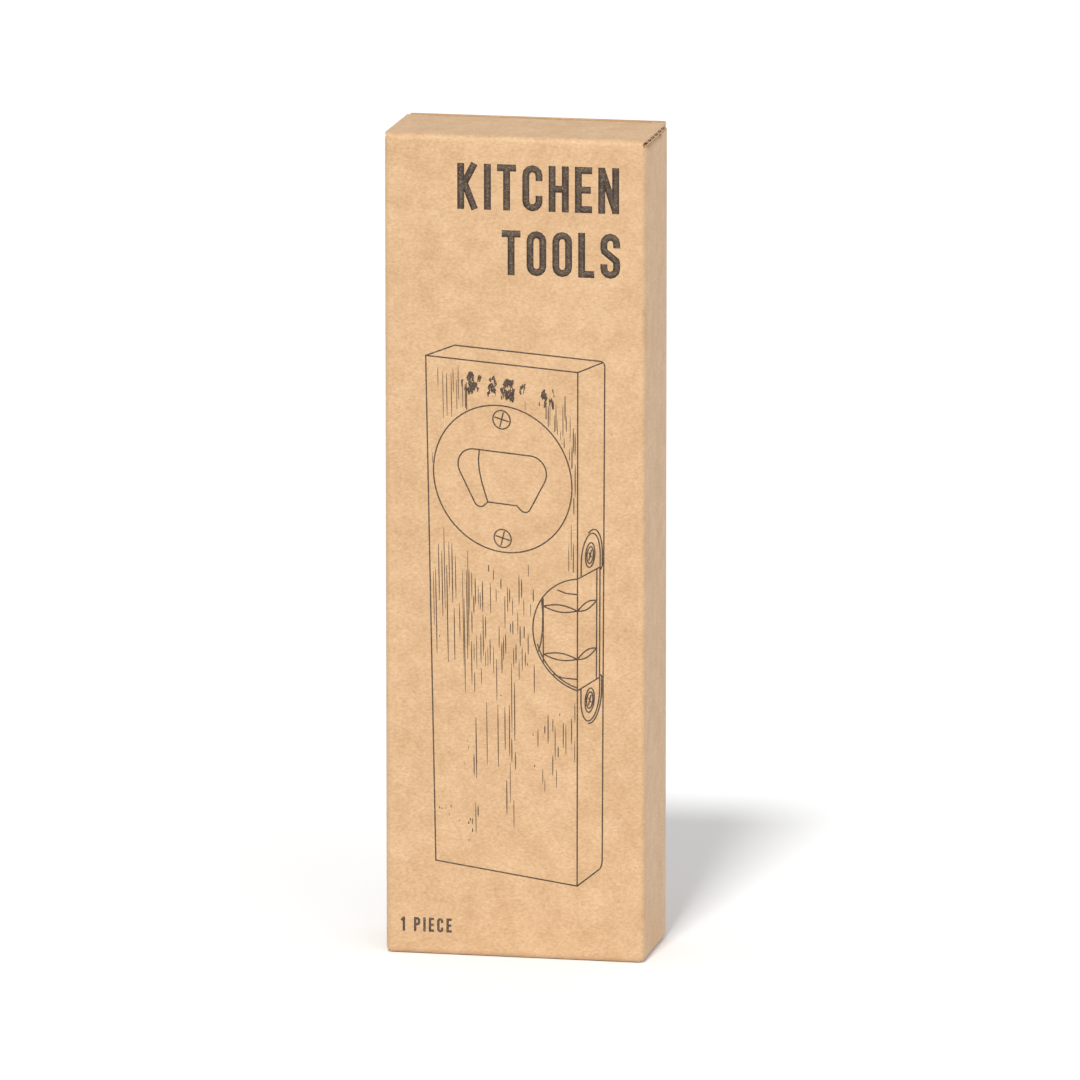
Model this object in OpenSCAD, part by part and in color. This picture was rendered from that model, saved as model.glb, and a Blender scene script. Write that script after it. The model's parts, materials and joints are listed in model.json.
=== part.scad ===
// Wooden bottle opener with a spirit level, packed in its folded board carton.
// Origin at the centre of the carton's footprint, on the surface it stands on.
// X runs to the right, Y to the back and Z up; the printed panel faces -Y.

/* [Wood block] */
// Thickness of the block
block_t = 17.4; // [14.4:0.2:24]
// Length of the block
block_l = 132; // [120:1:200]
// Radius of the block's eased long edges
block_edge_r = 1; // [0.4:0.1:1.6]

/* [Opener plate] */
// Thickness of the steel plate
plate_t = 2; // [1.6:0.1:3]
// From the block's top end down to the plate's rim
plate_drop = 10.4; // [6:0.1:14]
// Wood left beside the plate at each side of the block
plate_side = 1.5; // [1:0.1:6]
// From the plate's rim in to the centre of each of its screws
plate_rim = 3.5; // [3:0.1:5]
// From each of the plate's screws in to the wall of the pocket
screw_web = 2.5; // [1.8:0.1:4]
// Gap between the plate's rim and its recess
plate_fit = 0.1; // [0.05:0.05:0.3]
// Width between the centres of the mouth's two upper corners
mouth_top_w = 15.2; // [13:0.2:19]
// Radius of the mouth's upper corners
mouth_top_r = 4.2; // [3:0.1:4.4]
// From the plate's centre up to the mouth's straight upper edge
mouth_top_up = 6.8; // [6:0.1:7.2]
// Width between the centres of the mouth's two lower lobes
mouth_lobe_w = 12; // [10:0.2:14]
// Radius of the mouth's lower lobes
mouth_lobe_r = 1.6; // [1:0.1:2]
// From the plate's centre down to the centres of the lobes
mouth_lobe_down = 6; // [5:0.1:7]
// Width of the tooth that catches the cap
tooth_w = 7.8; // [6:0.1:8.6]
// Rim of the pocket that shows all round beyond the mouth's corners
pocket_rim = 0.27; // [0.1:0.01:1]
// Wood left behind the pocket
pocket_floor = 4.4; // [2:0.1:6]

/* [Level] */
// Diameter of the vial's bore
vial_d = 8.4; // [7.4:0.1:9]
// Length of the vial's bore, between its top and its plug
vial_l = 16.4; // [15:0.1:20]
// Acrylic between the vial and the block's side
vial_wall = 0.8; // [0.6:0.1:1]
// Acrylic between the vial and the level's deepest point
vial_back = 2.8; // [2.4:0.1:4]
// Acrylic between the vial's far corners and the level's arc
vial_end = 0.4; // [0.3:0.1:1]
// Wood left behind the level
level_back = 4.6; // [3:0.1:6]
// Gap between the level and the wood around it
level_fit = 0.1; // [0.05:0.05:0.2]
// How far the ears reach past the level's ends
ear_reach = 9.85; // [8:0.05:13]
// Wood left at each edge of the ears
ear_edge = 2.4; // [2:0.1:4]
// Thickness of the ears
ear_t = 1.4; // [1.2:0.1:2]
// How far the ears lie below the block's side
ear_set = 0.6; // [0.3:0.1:1]
// From the level's ends out to the ear screws
ear_screw_out = 4.4; // [4:0.1:6]
// Room between a centred bubble and each marker ring
ring_room = 2.2; // [1:0.1:3]
// Width of a marker ring
ring_w = 0.5; // [0.3:0.1:0.8]
// Thickness of a marker ring
ring_t = 0.2; // [0.1:0.05:0.2]
// Thickness of the liquid round the bubble
film_t = 0.35; // [0.3:0.05:0.5]
// Length of the bubble
bubble_l = 8; // [7:0.1:10]
// Gap between the bubble and what is round it
bubble_fit = 0.15; // [0.1:0.05:0.2]

/* [Screws] */
// Head diameter of the plate's screws
plate_head_d = 4.5; // [4:0.1:5]
// Shank diameter of the plate's screws
plate_shank_d = 2.4; // [2:0.1:2.6]
// Length of the plate's screws
plate_screw_l = 11; // [8:0.5:12]
// Head diameter of the ears' screws
ear_head_d = 4.3; // [3.8:0.1:4.6]
// Shank diameter of the ears' screws
ear_shank_d = 2; // [1.6:0.1:2.4]
// Length of the ears' screws
ear_screw_l = 9; // [7:0.5:12]
// Height of every countersunk head
head_h = 1.3; // [1:0.1:1.4]
// Width of the slots of every cross recess
cross_w = 0.7; // [0.5:0.1:0.9]
// Depth of every cross recess
cross_deep = 0.7; // [0.4:0.1:0.9]
// Gap between a screw and its hole
screw_fit = 0.05; // [0.02:0.01:0.1]

/* [Carton] */
// Thickness of the board
board_t = 1.1; // [0.8:0.05:1.4]
// Inner radius of every fold
fold_in = 0.1; // [0.05:0.05:0.4]
// Room between the block and the carton at each side
room_side = 3.4; // [2.8:0.1:6]
// Room in front of the block
room_front = 2; // [1.6:0.1:4]
// Room behind the block
room_back = 1.4; // [1:0.1:4]
// Room above the block, up to the lid
room_top = 19.6; // [18:0.1:30]
// Gap between the opener and the floor it stands on
stand_gap = 0.1; // [0.05:0.05:0.3]
// Gap between the lid and the dust flaps under it
lid_gap = 0.15; // [0.1:0.05:0.4]
// Gap between the lid's rear fold and the back panel
tuck_gap = 0.3; // [0.2:0.05:0.6]
// Length of the tuck flap
tuck_l = 10; // [7:0.5:11]
// How far the tuck flap leans in from the vertical, in degrees
tuck_lean = 24; // [22:1:30]
// Gap between the tuck flap and the seam flap
tuck_side = 0.6; // [0.4:0.1:3]
// Radius of the tuck flap's corners
tuck_corner_r = 4; // [2:0.5:6]
// Length of the dust flaps
dust_l = 10; // [6:0.5:11]
// From the carton's front to the dust flaps
dust_front = 2; // [1.8:0.1:4]
// Gap between the dust flaps and the tuck flap's leaning edge
dust_rear_gap = 0.6; // [0.5:0.1:3]
// Length of the bottom's inner side flaps
floor_side_l = 12; // [8:0.5:14]
// Gap between neighbouring flaps of the bottom
floor_gap = 0.4; // [0.2:0.1:1]
// Width of the glued seam flap
glue_w = 11; // [8:0.5:14]
// How far the glued seam flap narrows at its ends
glue_taper = 3; // [1:0.5:5]

/* [Hidden] */

$fn = 64;
past = 1;                // how far a cut runs past the face it opens
arc_steps = 5;           // straight steps in each half of a fold
mouth_steps = 12;        // straight steps in each rounded corner of the mouth
tooth_angle = -135;      // where each lobe's round ends and rises to the tooth, in degrees
kraft = [0.85, 0.68, 0.47];
kraft_inside = [0.74, 0.57, 0.39];
clear = [0.86, 0.95, 0.9, 0.5];

// The pocket clears the mouth's corners, the screws stand outside the pocket, and the plate holds both
mouth_corner = [mouth_top_w / 2, mouth_top_up - mouth_top_r];
pocket_d = 2 * (norm(mouth_corner) + mouth_top_r + pocket_rim);
plate_screw_out = pocket_d / 2 + screw_web;
plate_d = 2 * (plate_screw_out + plate_rim);
block_w = plate_d + 2 * plate_side;
plate_z = block_l - plate_drop - plate_d / 2;
pocket_deep = block_t - pocket_floor;

// The carton's outer size, and the outer radius of its folds
fold_r = board_t + fold_in;
carton_w = block_w + 2 * (room_side + board_t);
carton_d = block_t + room_front + room_back + 2 * board_t;
floor_top = 2 * board_t;
carton_h = floor_top + stand_gap + block_l + room_top + board_t;
side_h = carton_h - board_t - lid_gap;

// The lid's rear fold turns down and in, and its roundest point stays clear of the back panel
rear_bend = 90 + tuck_lean;
lid_l = carton_d - board_t - tuck_gap + fold_r * (tan(rear_bend / 2) - 1);
tuck_w = carton_w - 2 * (2 * board_t + tuck_side);
tuck_tip_y = lid_l - tuck_l * sin(tuck_lean) - board_t * cos(tuck_lean);
dust_rear = tuck_tip_y - dust_rear_gap;

// The opener's place in the carton
opener_y = -carton_d / 2 + board_t + room_front;
opener_z = floor_top + stand_gap;

// The level's arc leaves enough acrylic behind the vial and at its far corners
level_in = vial_wall + vial_d + vial_back;
level_t = block_t - level_back;
level_r = (pow(vial_l / 2 + vial_end, 2) + pow(vial_back, 2)) / (2 * vial_back);
level_arc_x = block_w / 2 - level_in + level_r;
level_chord = 2 * sqrt(pow(level_r, 2) - pow(level_r - level_in, 2));
level_z = block_l / 2;
ear_w = block_t - 2 * ear_edge;
ear_span = level_chord + 2 * ear_reach;
ear_screw_gap = level_chord + 2 * ear_screw_out;
ear_y = block_t / 2;
ear_x = block_w / 2 - ear_set;
vial_x = block_w / 2 - vial_wall - vial_d / 2;
vial_y = level_t / 2;
ring_gap = bubble_l + 2 * ring_room;
track_d = vial_d - 2 * film_t;
bubble_d = track_d - 2 * bubble_fit;
bubble_top = vial_l / 2 - bubble_fit;

// Points of an arc about centre c, from angle a to angle b
function arc(c, r, a, b, n) = [for (i = [0:n]) c + r * [cos(a + (b - a) * i / n), sin(a + (b - a) * i / n)]];

// Outline of a board's cross-section: its outer face lies on y = 0 and its thickness runs to +y.
// length is measured between the sharp outer corners; each end is mitred and half rounded for the
// fold it makes, and is cut square where its bend is 0.
function board_outline(length, bend_a, bend_b) = concat(
  [[board_t * tan(bend_a / 2), board_t]],
  arc([fold_r * tan(bend_a / 2), fold_r], fold_r, -90 - bend_a / 2, -90, bend_a == 0 ? 1 : arc_steps),
  arc([length - fold_r * tan(bend_b / 2), fold_r], fold_r, -90, -90 + bend_b / 2, bend_b == 0 ? 1 : arc_steps),
  [[length - board_t * tan(bend_b / 2), board_t]]
);

// Half of the mouth's outline, from its upper edge round to the tooth
mouth_lobe = [mouth_lobe_w / 2, -mouth_lobe_down];
mouth_run = mouth_lobe - mouth_corner;
mouth_turn = atan2(mouth_run[1], mouth_run[0]) + acos((mouth_top_r - mouth_lobe_r) / norm(mouth_run));
mouth_half = concat(
  arc(mouth_corner, mouth_top_r, 90, mouth_turn, mouth_steps),
  arc(mouth_lobe, mouth_lobe_r, mouth_turn, tooth_angle, mouth_steps),
  [[tooth_w / 2, -mouth_lobe_down]]
);
mouth_outline = concat(
  mouth_half,
  [for (i = [len(mouth_half) - 1:-1:0]) [-mouth_half[i][0], mouth_half[i][1]]]
);

// Stands a section in the model: its x runs along u, its y along v, and it is extruded along u x v
module place(origin, u, v) {
  w = cross(u, v);
  multmatrix([
    [u[0], v[0], w[0], origin[0]],
    [u[1], v[1], w[1], origin[1]],
    [u[2], v[2], w[2], origin[2]],
    [0, 0, 0, 1]
  ]) children();
}

module board(length, bend_a, bend_b, run) {
  linear_extrude(run) polygon(board_outline(length, bend_a, bend_b));
}

// A wall's upright section: rounded under at the bottom, cut square at the top
module wall_section(height) {
  translate([board_t, 0]) square([height - board_t, board_t]);
  intersection() {
    square(board_t);
    translate([board_t, board_t]) circle(board_t);
  }
}

module rounded_rect(w, d, r) {
  translate([r, 0]) square([w - 2 * r, d]);
  translate([0, r]) square([w, d - 2 * r]);
  for (x = [r, w - r], y = [r, d - r]) translate([x, y]) circle(r);
}

module front_panel() {
  color(kraft) intersection() {
    place([-carton_w / 2, -carton_d / 2, 0], [1, 0, 0], [0, 1, 0]) board(carton_w, 90, 90, carton_h);
    place([carton_w / 2, -carton_d / 2, 0], [0, 0, 1], [0, 1, 0]) board(carton_h, 90, 90, carton_w);
  }
}

module back_panel() {
  color(kraft) intersection() {
    place([carton_w / 2, carton_d / 2, 0], [-1, 0, 0], [0, -1, 0]) board(carton_w, 90, 90, carton_h);
    place([-carton_w / 2, carton_d / 2, 0], [0, 0, 1], [0, -1, 0])
      linear_extrude(carton_w) wall_section(carton_h);
  }
}

// The right-hand wall: its top is mitred and rounded only where the dust flap folds off it
module side_panel() {
  flap_run = dust_rear - dust_front;
  intersection() {
    place([carton_w / 2, -carton_d / 2, 0], [0, 1, 0], [-1, 0, 0]) board(carton_d, 90, 90, side_h);
    union() {
      difference() {
        place([carton_w / 2, carton_d / 2, 0], [0, 0, 1], [-1, 0, 0])
          linear_extrude(carton_d) wall_section(side_h);
        translate([0, dust_front - carton_d / 2, side_h - fold_r]) cube([carton_w, flap_run, 2 * fold_r]);
      }
      place([carton_w / 2, dust_rear - carton_d / 2, 0], [0, 0, 1], [-1, 0, 0])
        intersection() {
          board(side_h, 0, 90, flap_run);
          translate([side_h - fold_r, -past, 0]) cube([2 * fold_r, board_t + 2 * past, flap_run]);
        }
    }
  }
}

module right_side_panel() {
  color(kraft) side_panel();
}

module left_side_panel() {
  color(kraft) mirror([1, 0, 0]) side_panel();
}

// Folded off the back panel's left edge and glued inside the left wall, with tapered ends
module glue_flap() {
  low = floor_top + floor_gap;
  high = side_h - board_t - floor_gap;
  rear = carton_d / 2 - board_t;
  color(kraft_inside) place([board_t - carton_w / 2, 0, 0], [0, 1, 0], [0, 0, 1])
    linear_extrude(board_t) polygon([
      [rear, low], [rear, high],
      [rear - glue_w, high - glue_taper], [rear - glue_w, low + glue_taper]
    ]);
}

module lid() {
  color(kraft) intersection() {
    place([-carton_w / 2, -carton_d / 2, carton_h], [0, 1, 0], [0, 0, -1])
      mirror([0, 0, 1]) board(lid_l, 90, rear_bend, carton_w);
    translate([-carton_w / 2, -carton_d / 2, 0]) linear_extrude(carton_h + past) union() {
      rounded_rect(carton_w, carton_d, fold_r);
      translate([0, carton_d / 2]) square([carton_w, carton_d / 2]);
    }
  }
}

// Hangs from the lid's rear fold, leaning in, with two rounded corners
module tuck_flap() {
  down = [0, -sin(tuck_lean), -cos(tuck_lean)];
  inward = [0, -cos(tuck_lean), sin(tuck_lean)];
  color(kraft) place([tuck_w / 2, lid_l - carton_d / 2, carton_h], down, inward)
    intersection() {
      board(tuck_l, rear_bend, 0, tuck_w);
      place([-past, -past, 0], [0, 0, 1], [1, 0, 0]) linear_extrude(board_t + 2 * past) union() {
        rounded_rect(tuck_w, tuck_l + past, tuck_corner_r);
        square([tuck_w, tuck_corner_r + past]);
      }
    }
}

// The right-hand flap: mitred beside the lid's hinge so that it can follow the lid up
module dust_flap() {
  intersection() {
    place([carton_w / 2, dust_rear - carton_d / 2, side_h], [-1, 0, 0], [0, 0, -1])
      board(dust_l, 90, 0, dust_rear - dust_front);
    translate([carton_w / 2, -carton_d / 2, 0]) linear_extrude(carton_h) polygon([
      [0, dust_front], [0, dust_rear], [-dust_l, dust_rear], [-dust_l, dust_front + dust_l]
    ]);
  }
}

module dust_flap_right() {
  color(kraft_inside) dust_flap();
}

module dust_flap_left() {
  color(kraft_inside) mirror([1, 0, 0]) dust_flap();
}

module bottom_front_flap() {
  wide = carton_w - 2 * (board_t + floor_gap);
  color(kraft) place([-wide / 2, -carton_d / 2, 0], [0, 1, 0], [0, 0, 1])
    board(carton_d - board_t - floor_gap, 90, 0, wide);
}

module bottom_back_flap() {
  wide = carton_w - 2 * (board_t + floor_side_l + floor_gap);
  deep = carton_d - 2 * board_t - floor_gap;
  color(kraft_inside) translate([-wide / 2, carton_d / 2 - board_t - deep, board_t])
    cube([wide, deep, board_t]);
}

module bottom_side_flap() {
  deep = carton_d - 2 * (board_t + floor_gap);
  translate([carton_w / 2 - board_t - floor_side_l, -deep / 2, board_t])
    cube([floor_side_l, deep, board_t]);
}

module bottom_side_flap_right() {
  color(kraft_inside) bottom_side_flap();
}

module bottom_side_flap_left() {
  color(kraft_inside) mirror([1, 0, 0]) bottom_side_flap();
}

// Everything below is drawn in the opener's own place: its front face on y = 0, its foot on z = 0
module in_opener() {
  translate([0, opener_y, opener_z]) children();
}

module along_y(y) {
  translate([0, y, 0]) rotate([-90, 0, 0]) children();
}

// The half-moon's outline, grown by fit and cut off at x = right
module half_moon(deep, right, fit) {
  intersection() {
    translate([level_arc_x, 0, level_z]) along_y(0) cylinder(r = level_r + fit, h = deep, $fn = 128);
    translate([0, -past, 0]) cube([right, deep + 2 * past, block_l]);
  }
}

// A long plate with round ends, standing against the block's side
module ear_plate(x, thick, fit) {
  radius = ear_w / 2 + fit;
  reach = (ear_span - ear_w) / 2;
  place([x, ear_y, level_z], [0, 1, 0], [0, 0, 1]) linear_extrude(thick) union() {
    translate([-radius, -reach]) square([2 * radius, 2 * reach]);
    for (end = [-1, 1]) translate([0, end * reach]) circle(radius);
  }
}

// A countersunk wood screw that points down -Z from its flat head, with a cross recess
module wood_screw(head_d, shank_d, length) {
  tip_h = shank_d;
  difference() {
    union() {
      translate([0, 0, -head_h]) cylinder(d1 = shank_d, d2 = head_d, h = head_h);
      translate([0, 0, tip_h - length]) cylinder(d = shank_d, h = length - tip_h - head_h);
      translate([0, 0, -length]) cylinder(d1 = 0, d2 = shank_d, h = tip_h);
    }
    for (turn = [0, 90]) rotate(turn)
      translate([-head_d / 3, -cross_w / 2, -cross_deep]) cube([2 * head_d / 3, cross_w, cross_deep + past]);
  }
}

// The hole for such a screw, through a plate and into the wood behind it
module screw_hole(head_d, shank_d, length) {
  translate([0, 0, -head_h]) cylinder(d1 = shank_d + 2 * screw_fit, d2 = head_d + 2 * screw_fit, h = head_h);
  cylinder(d = head_d + 2 * screw_fit, h = past);
  translate([0, 0, -length - screw_fit]) cylinder(d = shank_d + 2 * screw_fit, h = length);
}

// Turns a screw's own axis into the plate's front face, above (+1) or below (-1) its centre
module at_plate_screw(side) {
  translate([0, 0, plate_z + side * plate_screw_out]) rotate([90, 0, 0]) children();
}

// Turns a screw's own axis into an ear's outer face, above (+1) or below (-1) the level
module at_ear_screw(side) {
  translate([ear_x, ear_y, level_z + side * ear_screw_gap / 2]) rotate([0, 90, 0]) children();
}

module wood_block() {
  color("burlywood") in_opener() difference() {
    translate([-block_w / 2, 0, 0]) linear_extrude(block_l) rounded_rect(block_w, block_t, block_edge_r);
    translate([0, 0, plate_z]) along_y(-past) cylinder(d = plate_d + 2 * plate_fit, h = plate_t + past, $fn = 128);
    translate([0, 0, plate_z]) along_y(0) cylinder(d = pocket_d, h = pocket_deep, $fn = 128);
    for (side = [-1, 1]) {
      at_plate_screw(side) screw_hole(plate_head_d, plate_shank_d, plate_screw_l);
      at_ear_screw(side) screw_hole(ear_head_d, ear_shank_d, ear_screw_l);
    }
    translate([0, -past, 0]) half_moon(level_t + level_fit + past, block_w, level_fit);
    ear_plate(ear_x - ear_t - level_fit, ear_t + ear_set + past, level_fit);
  }
}

module opener_plate() {
  color("silver") in_opener() difference() {
    translate([0, 0, plate_z]) along_y(0) cylinder(d = plate_d, h = plate_t, $fn = 128);
    place([0, plate_t + past, plate_z], [1, 0, 0], [0, 0, 1])
      linear_extrude(plate_t + 2 * past) polygon(mouth_outline);
    for (side = [-1, 1]) at_plate_screw(side) screw_hole(plate_head_d, plate_shank_d, plate_screw_l);
  }
}

module plate_screw(side) {
  color("gray") in_opener() at_plate_screw(side) wood_screw(plate_head_d, plate_shank_d, plate_screw_l);
}

module plate_screw_upper() {
  plate_screw(1);
}

module plate_screw_lower() {
  plate_screw(-1);
}

module level_body() {
  color(clear) in_opener() difference() {
    union() {
      half_moon(level_t, block_w / 2, 0);
      ear_plate(ear_x - ear_t, ear_t, 0);
    }
    translate([vial_x, vial_y, level_z - level_r]) cylinder(d = vial_d, h = level_r + vial_l / 2);
    for (side = [-1, 1]) at_ear_screw(side) screw_hole(ear_head_d, ear_shank_d, ear_screw_l);
  }
}

// Fills the vial's bore from the liquid down to the level's curved edge
module vial_plug() {
  color(clear) in_opener() intersection() {
    half_moon(level_t, block_w / 2, 0);
    translate([vial_x, vial_y, level_z - level_r])
      cylinder(d = vial_d - 2 * screw_fit, h = level_r - vial_l / 2);
  }
}

module ring_tube(side) {
  translate([vial_x, vial_y, level_z + side * ring_gap / 2 - ring_w / 2]) difference() {
    cylinder(d = vial_d, h = ring_w);
    translate([0, 0, -past]) cylinder(d = vial_d - 2 * ring_t, h = ring_w + 2 * past);
  }
}

module marker_ring_upper() {
  color("black") in_opener() ring_tube(1);
}

module marker_ring_lower() {
  color("black") in_opener() ring_tube(-1);
}

// The liquid that stays round the bubble's track; the track itself is left open for the bubble
module spirit_fill() {
  color("yellowgreen") in_opener() difference() {
    translate([vial_x, vial_y, level_z - vial_l / 2]) difference() {
      cylinder(d = vial_d, h = vial_l);
      translate([0, 0, -past]) cylinder(d = track_d, h = vial_l + 2 * past);
    }
    for (side = [-1, 1]) ring_tube(side);
  }
}

module bubble() {
  color("white") in_opener() translate([vial_x, vial_y, level_z + bubble_top]) {
    translate([0, 0, bubble_d / 2 - bubble_l]) cylinder(d = bubble_d, h = bubble_l - bubble_d);
    translate([0, 0, -bubble_d / 2]) sphere(d = bubble_d);
    translate([0, 0, bubble_d / 2 - bubble_l]) sphere(d = bubble_d);
  }
}

module level_screw(side) {
  color("gray") in_opener() at_ear_screw(side) wood_screw(ear_head_d, ear_shank_d, ear_screw_l);
}

module level_screw_upper() {
  level_screw(1);
}

module level_screw_lower() {
  level_screw(-1);
}

front_panel();
back_panel();
left_side_panel();
right_side_panel();
glue_flap();
lid();
tuck_flap();
dust_flap_left();
dust_flap_right();
bottom_front_flap();
bottom_back_flap();
bottom_side_flap_left();
bottom_side_flap_right();
wood_block();
opener_plate();
plate_screw_upper();
plate_screw_lower();
level_body();
vial_plug();
marker_ring_upper();
marker_ring_lower();
spirit_fill();
bubble();
level_screw_upper();
level_screw_lower();
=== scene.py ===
import json
import math
import random

import bmesh
import bpy
from mathutils import Matrix, Vector

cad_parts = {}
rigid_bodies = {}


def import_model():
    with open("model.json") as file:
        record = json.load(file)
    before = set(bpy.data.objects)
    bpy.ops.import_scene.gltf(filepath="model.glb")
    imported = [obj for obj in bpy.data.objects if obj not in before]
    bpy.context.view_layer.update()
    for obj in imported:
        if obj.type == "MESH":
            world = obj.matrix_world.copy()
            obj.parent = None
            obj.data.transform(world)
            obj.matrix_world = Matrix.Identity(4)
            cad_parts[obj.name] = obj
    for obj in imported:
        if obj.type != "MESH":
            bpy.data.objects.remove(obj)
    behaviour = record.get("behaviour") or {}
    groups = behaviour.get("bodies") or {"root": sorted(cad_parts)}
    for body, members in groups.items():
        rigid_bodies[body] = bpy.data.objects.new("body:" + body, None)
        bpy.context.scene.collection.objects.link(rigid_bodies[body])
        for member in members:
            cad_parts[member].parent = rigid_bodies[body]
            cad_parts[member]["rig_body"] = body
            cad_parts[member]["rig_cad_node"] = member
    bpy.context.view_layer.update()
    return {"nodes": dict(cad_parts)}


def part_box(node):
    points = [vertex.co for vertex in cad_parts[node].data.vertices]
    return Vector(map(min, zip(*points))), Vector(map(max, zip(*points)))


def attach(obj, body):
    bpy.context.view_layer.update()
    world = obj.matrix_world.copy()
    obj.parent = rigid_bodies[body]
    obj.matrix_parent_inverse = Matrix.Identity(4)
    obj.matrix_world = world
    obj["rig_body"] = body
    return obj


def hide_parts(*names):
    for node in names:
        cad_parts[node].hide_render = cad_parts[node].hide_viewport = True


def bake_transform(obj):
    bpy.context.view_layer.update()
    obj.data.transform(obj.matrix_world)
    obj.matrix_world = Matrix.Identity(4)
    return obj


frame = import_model()

# ---- Studio ----------------------------------------------------------------------------------
# A white table in a white room, with a high soft light in front of the carton, and a low and
# wider one to the right of it that lifts the front and the right-hand side.
# The camera stands a little to the right, a little above, and far back with a long lens.
MM = 0.001
scene = bpy.context.scene
scene.view_settings.view_transform = "Standard"

camera_turn = math.radians(11.19)
camera_dip = math.radians(11.37)
aim = Vector((4.86, -11.5, 79.6)) * MM
ahead = Vector((
    -math.sin(camera_turn) * math.cos(camera_dip),
    math.cos(camera_turn) * math.cos(camera_dip),
    -math.sin(camera_dip),
))
bpy.ops.object.camera_add(location=aim - 2.591 * ahead)
camera = bpy.context.object
camera.rotation_euler = ahead.to_track_quat("-Z", "Y").to_euler()
camera.data.sensor_width = 36
camera.data.lens = 466.7
camera.data.clip_start = 0.1
camera.data.clip_end = 50
scene.camera = camera

bpy.ops.object.light_add(type="SUN", rotation=(math.radians(36), 0, math.radians(-2)))
high_light = bpy.context.object
high_light.data.energy = 2.1
high_light.data.angle = math.radians(8)
bpy.ops.object.light_add(type="SUN", rotation=(math.radians(80), 0, math.radians(35)))
low_light = bpy.context.object
low_light.data.energy = 1.1
low_light.data.angle = math.radians(60)

room = bpy.data.worlds.new("white_room")
room.use_nodes = True
room.node_tree.nodes["Background"].inputs["Color"].default_value = (1, 1, 1, 1)
room.node_tree.nodes["Background"].inputs["Strength"].default_value = 0.60
scene.world = room


class Finish:
    """A material in the making: its nodes are added one by one and end on its shader."""

    def __init__(self, name, roughness, **sockets):
        self.material = bpy.data.materials.new(name)
        self.material.use_nodes = True
        self.nodes = self.material.node_tree.nodes
        self.shader = self.nodes["Principled BSDF"]
        self.shader.inputs["Roughness"].default_value = roughness
        for socket, value in sockets.items():
            self.shader.inputs[socket.replace("_", " ")].default_value = value
        self.place = self.add("ShaderNodeTexCoord").outputs["Object"]

    def join(self, source, socket):
        self.material.node_tree.links.new(source, socket)

    def add(self, kind, **settings):
        node = self.nodes.new(kind)
        for setting, value in settings.items():
            setattr(node, setting, value)
        return node

    def stretched(self, x, y, z):
        """The piece's own coordinates, each multiplied by its own number of repeats per metre."""
        node = self.add("ShaderNodeMapping")
        node.inputs["Scale"].default_value = (x, y, z)
        self.join(self.place, node.inputs["Vector"])
        return node.outputs["Vector"]

    def cloud(self, place, scale, detail=2, rough=0.5, twist=0):
        node = self.add("ShaderNodeTexNoise")
        for socket, value in (("Scale", scale), ("Detail", detail), ("Roughness", rough),
                              ("Distortion", twist)):
            node.inputs[socket].default_value = value
        self.join(place, node.inputs["Vector"])
        return node.outputs["Fac"]

    def ramp(self, source, *stops):
        node = self.add("ShaderNodeValToRGB")
        edge = node.color_ramp.elements
        while len(edge) < len(stops):
            edge.new(0.5)
        for element, (at, tone) in zip(edge, stops):
            element.position = at
            element.color = (*tone, 1) if hasattr(tone, "__len__") else (tone, tone, tone, 1)
        self.join(source, node.inputs["Fac"])
        return node.outputs["Color"]

    def blend(self, low, high, share, kind="MIX"):
        node = self.add("ShaderNodeMix", data_type="RGBA", blend_type=kind)
        for value, socket in ((share, 0), (low, 6), (high, 7)):
            if isinstance(value, bpy.types.NodeSocket):
                self.join(value, node.inputs[socket])
            else:
                node.inputs[socket].default_value = (*value, 1) if hasattr(value, "__len__") else value
        return node.outputs[2]

    def bump(self, height, strength, distance, under=None):
        node = self.add("ShaderNodeBump")
        node.inputs["Strength"].default_value = strength
        node.inputs["Distance"].default_value = distance
        self.join(height, node.inputs["Height"])
        if under is not None:
            self.join(under, node.inputs["Normal"])
        return node.outputs["Normal"]

    def done(self, colour=None, normal=None, roughness=None):
        for source, socket in ((colour, "Base Color"), (normal, "Normal"), (roughness, "Roughness")):
            if isinstance(source, bpy.types.NodeSocket):
                self.join(source, self.shader.inputs[socket])
            elif source is not None:
                self.shader.inputs[socket].default_value = (*source, 1)
        return self.material


bpy.ops.object.select_all(action="DESELECT")
bpy.ops.mesh.primitive_plane_add(size=40)
table_top = bpy.context.object
table_top.name = "table_top"
table_paint = Finish("table_paint", 0.9)
table_tone = table_paint.ramp(table_paint.cloud(table_paint.place, 3), (0.3, 0.875), (0.7, 0.885))
table_top.data.materials.append(table_paint.done(table_tone))

# ---- Carton walls ----------------------------------------------------------------------------
# One blank of micro-flute board: two kraft liners with a wavy paper between them, die cut,
# creased and folded. The walls meet in round folds, and the seam flap is glued inside.
carton_w = 2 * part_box("right_side_panel")[1].x
carton_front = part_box("front_panel")[0].y
carton_back = -carton_front
carton_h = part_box("lid")[1].z
side_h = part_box("right_side_panel")[1].z
board_low, board_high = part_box("bottom_back_flap")
board_t = board_high.z - board_low.z
fold_in = 0.1 * MM
fold_r = board_t + fold_in
crease_reach = 1.2 * MM
liner_t = 0.22 * MM
fluting_t = 0.17 * MM
flute_pitch = 3.6 * MM
wave_short = 0.1 * MM  # how much shorter than its liners the wavy paper is, over both cut ends


def select_only(*pieces):
    bpy.ops.object.select_all(action="DESELECT")
    for piece in pieces:
        piece.select_set(True)
    bpy.context.view_layer.objects.active = pieces[0]


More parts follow.
